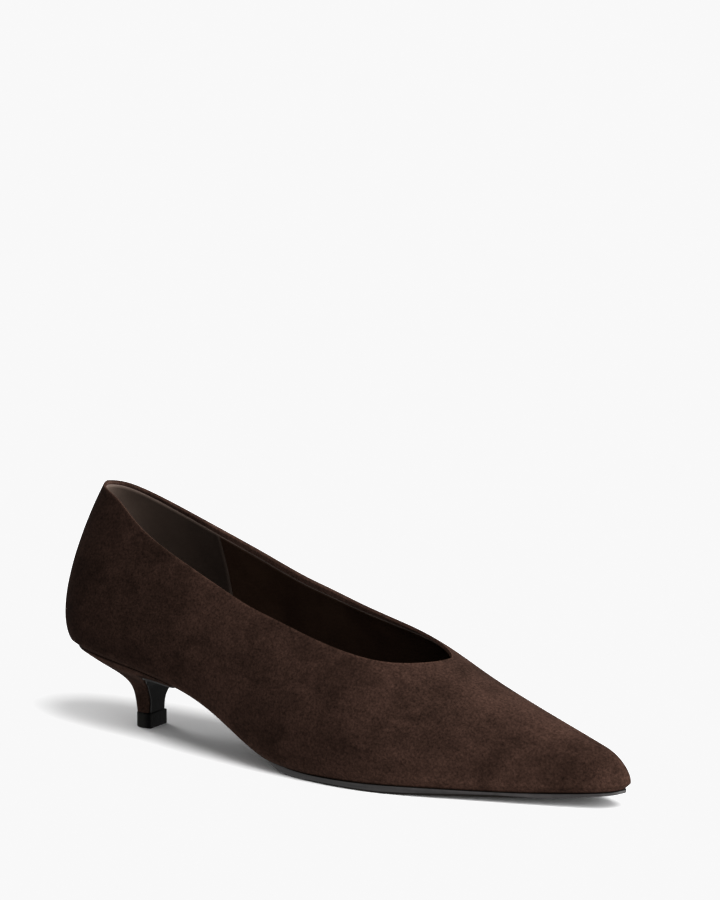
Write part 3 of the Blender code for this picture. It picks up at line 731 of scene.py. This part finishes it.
def make_sock(finish, cut):
    """The sock: a slab as high as the insole board, out to the lining, and curled up a little towards its edge."""
    turn = np.linspace(0.0, np.pi, SOCK_STATIONS)
    face = WALL + GAP + INSOLE_THICKNESS
    edges = []
    for side in (-1.0, 1.0):
        side = np.full(SOCK_STATIONS, side)
        angle = angle_at_rise(turn, side, face)
        inset = WALL + SOCK_CLEAR
        edges.append((skin(turn, side, angle) - skin_normal(turn, side, angle) * inset)[:, :2])
    part = np.linspace(0.0, 1.0, SOCK_CELLS + 1)
    plan = crosswise(edges[0], edges[1], part)
    under = feather_height(plan[..., 0], plan[..., 1]) + WALL + GAP
    top = with_height(plan, under + INSOLE_THICKNESS + SOCK_CURL * (2.0 * part - 1.0) ** SOCK_CURL_POWER)
    piece = add_piece("sock", slab(top, with_height(plan, under)), [finish, cut], True)
    ease_edges(piece, SOCK_EDGE, 3, 50.0)
    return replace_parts(piece, "insole")


def heel_column(name, rise):
    return spline(HEEL_TABLE["rise"], HEEL_TABLE[name], rise)


def turned(plan):
    """Plan points turned with the heel's front, about the middle of the post."""
    angle = np.radians(HEEL_TURN)
    ahead, aside = plan[:, 0] - POST_X, plan[:, 1]
    x = POST_X + ahead * np.cos(angle) - aside * np.sin(angle)
    return np.stack([x, ahead * np.sin(angle) + aside * np.cos(angle)], axis=-1)


def lift_outline():
    """The top lift's outline: half an ellipse behind the post's middle and a square front, turned with the heel."""
    quarter = np.linspace(-np.pi / 2.0, np.pi / 2.0, 2 * HEEL_SIDE_POINTS - 1)
    back = np.stack([POST_X - LIFT_BACK * np.cos(quarter), LIFT_HALF * np.sin(quarter)], axis=-1)
    front = np.array([[POST_X + LIFT_FRONT, LIFT_HALF], [POST_X + LIFT_FRONT, -LIFT_HALF]])
    return turned(np.concatenate([back, front]))


def seat_edge(side):
    """The seat's outline on one side, from its corner on the turned front to the middle of the back."""
    half = float(sided("outer", "inner", turn_at(HEEL_FRONT_X), side))
    corner_x = HEEL_FRONT_X - side * half * np.tan(np.radians(HEEL_TURN))
    turn = np.linspace(float(turn_at(corner_x)), 0.0, HEEL_SIDE_POINTS)
    return feather_edge(turn, np.full(HEEL_SIDE_POINTS, side), np.full(HEEL_SIDE_POINTS, HEEL_INSET))


def heel_outlines():
    """The outlines of post and seat, from the outer front corner round the back to the inner one, and how far
    each of their points is from those corners (0) to the middle of the back (1), smoothed at both ends."""
    seat = np.concatenate([seat_edge(-1.0), seat_edge(1.0)[-2::-1]])
    part = np.linspace(0.0, 1.0, HEEL_SIDE_POINTS)
    straight = np.clip(1.0 - part / POST_STRAIGHT, 0.0, 1.0)
    quarter = np.clip((part - POST_STRAIGHT) / (1.0 - POST_STRAIGHT), 0.0, 1.0) * np.pi / 2.0
    post_x = POST_X + POST_FRONT * straight - POST_BACK * np.sin(quarter)
    post_y = POST_HALF * np.cos(quarter)
    post = np.concatenate([np.stack([post_x, -post_y], -1), np.stack([post_x, post_y], -1)[-2::-1]])
    from_corner = np.concatenate([part, part[-2::-1]])
    return turned(post), seat, from_corner**2 * (3.0 - 2.0 * from_corner)


def heel_rings():
    """Rings of the heel (level, point, xyz): outlines between the post's and the seat's, shared out by the heel's
    sections, level over the top lift and along the seat at the top."""
    post, seat, back_part = heel_outlines()
    rise = 1.0 - np.linspace(1.0, 0.0, HEEL_RINGS)[:, None] ** RING_CROWDING
    back, corner, breast = (heel_column(name, rise) for name in ("back", "corner", "breast"))
    x = post[:, 0] + (seat[:, 0] - post[:, 0]) * (breast + (back - breast) * back_part)
    y = post[:, 1] + (seat[:, 1] - post[:, 1]) * (corner + (back - corner) * back_part)
    low = LIFT_HEIGHT + GAP
    return np.stack([x, y, low + (feather_height(x, y) - HEEL_CLEAR - low) * rise], axis=-1)


def make_heel(finish):
    """The heel cover: the heel's rings stacked from the top lift to the seat, flat across the front."""
    rings = heel_rings()
    part = np.linspace(0.0, 1.0, BREAST_CELLS + 1)[None, :, None]
    front = rings[:, -1:] * (1.0 - part) + rings[:, :1] * part
    caps = []
    for ring in (rings[0], rings[-1]):
        outer_half = ring[:HEEL_SIDE_POINTS]
        inner_half = ring[:HEEL_SIDE_POINTS - 2:-1]
        caps.append((outer_half[:, None] * (1.0 - part) + inner_half[:, None] * part, 0, False))
    others = np.full(front.shape[0] * front.shape[1] + 2 * HEEL_SIDE_POINTS * (BREAST_CELLS + 1), FAR)
    below_seat = np.concatenate([(rings[-1:, :, 2] - rings[..., 2]).ravel(), others])
    # foot_mm gives the heel cover painted shade under the crease at its top and painted light below it
    piece = add_piece("heel_cover", [(rings, 0, False), (front, 0, False)] + caps, [finish], True,
                      attributes={"edge_mm": np.full(len(below_seat), FAR), "foot_mm": below_seat})
    ease_edges(piece, HEEL_EDGE, 3, 40.0)
    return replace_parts(piece, "heel")


def sole_parts():
    """Parts of the way across the sole at which it is divided, with a narrow cell along each edge."""
    return np.concatenate([[0.0], np.linspace(EASED_PART, 1.0 - EASED_PART, SOLE_CELLS - 1), [1.0]])


def flap_faces():
    """Both faces of the flap of sole over the heel's front, from the seat down: straight lines across, moved out
    of the front along its normal, which is the cross product of the lines down it and across it."""
    rings = heel_rings()[::-1]
    middle = (rings[:, 0] + rings[:, -1]) / 2.0
    across_front = (rings[:, -1] - rings[:, 0]) / 2.0
    half = np.linalg.norm(across_front, axis=1, keepdims=True)
    facing = unit(np.cross(np.gradient(middle, axis=0), across_front))
    reach = across_front / half * np.minimum(half - FLAP_MARGIN, FLAP_MOST)
    side = (2.0 * sole_parts() - 1.0)[None, :, None]
    line = middle[:, None] + reach[:, None] * side
    return [line + facing[:, None] * clear for clear in (GAP, GAP + FLAP_THICKNESS)]


def make_sole(finish, cut):
    """The sole: a slab under the margin from the toe to the waist, carried on down the front of the heel as a flap
    at an even distance from it."""
    turn = np.linspace(np.pi, float(turn_at(SOLE_BACK_X)), SOLE_STATIONS)
    inset = column("inset", turn)
    outer = feather_edge(turn, np.full(SOLE_STATIONS, -1.0), inset)
    inner = feather_edge(turn, np.full(SOLE_STATIONS, 1.0), inset)
    part = sole_parts()
    plan = crosswise(outer, inner, part)
    top = with_height(plan, seat_height(plan[..., 0], plan[..., 1]))
    at_edge = (part == 0.0) | (part == 1.0)
    eased = at_edge[None, :] * np.interp(plan[..., 0], EASE_X, EASE)
    bottom = with_height(plan, tread_height(plan[..., 0], plan[..., 1]) + eased)
    flap = flap_faces()
    patches = slab(np.concatenate([top, flap[0]]), np.concatenate([bottom, flap[1]]))
    piece = add_piece("sole", patches, [finish, cut], True)
    ease_edges(piece, SOLE_EDGE, 3, 50.0)
    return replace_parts(piece, "outsole")


def add_floor(finish):
    """A level floor far wider than the view, as a grid of points at height 0."""
    reach = np.linspace(-9000.0, 9000.0, 13)
    plan = np.stack(np.meshgrid(reach, reach, indexing="ij"), axis=-1)
    floor = add_piece("floor", [(with_height(plan, np.zeros(plan.shape[:2])), 0, False)], [finish], False)
    if floor.data.polygons[0].normal.z < 0.0:
        floor.data.flip_normals()
    floor.visible_diffuse = False
    floor.visible_glossy = False
    return floor


def add_camera():
    """The photograph's camera: the heel's tip lies at its pixel, so far in front of the lens."""
    turn, pitch = math.radians(CAMERA_AZIMUTH), math.radians(CAMERA_PITCH)
    back = Vector((math.sin(turn) * math.cos(pitch), -math.cos(turn) * math.cos(pitch), math.sin(pitch)))
    right = Vector((math.cos(turn), math.sin(turn), 0.0))
    upwards = back.cross(right)
    scale = CAMERA_DISTANCE / FOCAL_PIXELS
    aside = (IMAGE_SIZE[0] / 2.0 - HEEL_TIP_PIXEL[0]) * scale
    above = (HEEL_TIP_PIXEL[1] - IMAGE_SIZE[1] / 2.0) * scale
    lens = bpy.data.cameras.new("photo_camera")
    lens.sensor_width = SENSOR
    lens.lens = FOCAL_PIXELS / max(IMAGE_SIZE) * SENSOR
    lens.clip_end = 100.0
    camera = bpy.data.objects.new("photo_camera", lens)
    camera.location = Vector(SHOE_ORIGIN) + (Vector((POST_X, 0.0, 0.0)) + back * CAMERA_DISTANCE
                                             + right * aside + upwards * above) * MM
    camera.rotation_euler = (math.pi / 2.0 - pitch, 0.0, turn)
    bpy.context.scene.collection.objects.link(camera)
    bpy.context.scene.camera = camera


def add_sun(name, towards, strength, spread, lit):
    """A soft distant light that shines from the given direction on the lit objects only; spread is the angle that
    it fills."""
    sun = bpy.data.lights.new(name, "SUN")
    sun.energy = strength
    sun.angle = math.radians(spread)
    lamp = bpy.data.objects.new(name, sun)
    lamp.rotation_euler = Vector(towards).to_track_quat("Z", "Y").to_euler()
    bpy.context.scene.collection.objects.link(lamp)
    receivers = bpy.data.collections.new(name)
    for member in lit:
        receivers.objects.link(member)
    lamp.light_linking.receiver_collection = receivers


def add_studio(shoe, floor):
    """Even white surroundings, a broad key on the shoe from beyond the toe, and lights of their own on the floor.
    The tones stop at the white of the photograph's ground."""
    world = bpy.data.worlds.new("studio")
    world.use_nodes = True
    world.node_tree.nodes["Background"].inputs["Color"].default_value = (1.0, 1.0, 1.0, 1.0)
    world.node_tree.nodes["Background"].inputs["Strength"].default_value = WORLD_STRENGTH
    bpy.context.scene.world = world
    add_sun("key", *KEY, shoe)
    for name, light in FLOOR_LIGHTS.items():
        add_sun(name, *light, [floor])
    settings = bpy.context.scene.view_settings
    settings.view_transform = "Standard"
    settings.use_curve_mapping = True
    curve = settings.curve_mapping
    curve.extend = "HORIZONTAL"
    for place, level in zip(curve.curves[3].points, ((0.0, 0.0), (WHITE, WHITE))):
        place.location = level
    curve.update()


lift_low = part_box("top_lift")[0]
SHOE_ORIGIN = np.array([lift_low.x, lift_low.y, 0.0]) - np.append(lift_outline().min(axis=0), 0.0) * MM

add_camera()

suede = suede_finish("brushed_suede", linear(36, 24, 19), linear(62, 44, 37), PAINTED_SHADE_PART)
# painted light: a lighter copy of the suede for the inside of the wall, seen on the folded edge in the opening's shade
painted_light_fold_suede = suede_finish("painted_light_fold_suede", linear(80, 60, 52), linear(112, 86, 76), FOLD_PAINTED_SHADE_PART)
heel_suede = suede_finish("heel_suede", linear(44, 30, 24), linear(78, 57, 49), PAINTED_SHADE_PART)
lining_leather = leather_finish("lining_leather", linear(44, 31, 24), linear(65, 48, 38), 0.42, 1500.0, 0.00004, 0.1,
                               LINING_PAINTED_LIGHT)
grip_leather = leather_finish("grip_leather", linear(58, 49, 44), linear(77, 66, 59), 0.5, 1700.0, 0.00004, 0.1,
                              GRIP_PAINTED_LIGHT)
sock_leather = leather_finish("sock_leather", linear(20, 13, 10), linear(36, 26, 21), 0.42, 1100.0, 0.00006, 0.2)
sole_leather = leather_finish("sole_leather", linear(22, 20, 18), linear(40, 36, 33), 0.5, 900.0, 0.00005, 0.3,
                              BREAST_PAINTED_SHADE)
lining_cut = edge_finish("lining_cut", linear(64, 52, 47), linear(92, 78, 71), 0.6, CUT_PAINTED_HIGHLIGHT)
sole_paint = edge_finish("sole_edge_paint", linear(44, 42, 42), linear(70, 67, 67), 0.5, FLAP_PAINTED_SHADE)
lift_rubber = rubber_finish("lift_rubber", linear(6, 6, 5), linear(15, 14, 13), LIFT_PAINTED_LIGHT)

pieces = {
    "suede": [make_upper(suede, painted_light_fold_suede)],
    "sock_leather": [make_lining(lining_leather, lining_cut), make_heel_grip(grip_leather),
                     make_sock(sock_leather, sock_leather)],
    "sole_leather": [make_sole(sole_leather, sole_paint)],
    "heel_suede": [make_heel(heel_suede)],
}
for slot_name, members in pieces.items():
    for member in members:
        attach(member, "root")

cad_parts["top_lift"].data.materials.clear()
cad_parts["top_lift"].data.materials.append(lift_rubber)

shoe_pieces = [member for members in pieces.values() for member in members] + [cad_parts["top_lift"]]
add_studio(shoe_pieces, add_floor(floor_finish()))
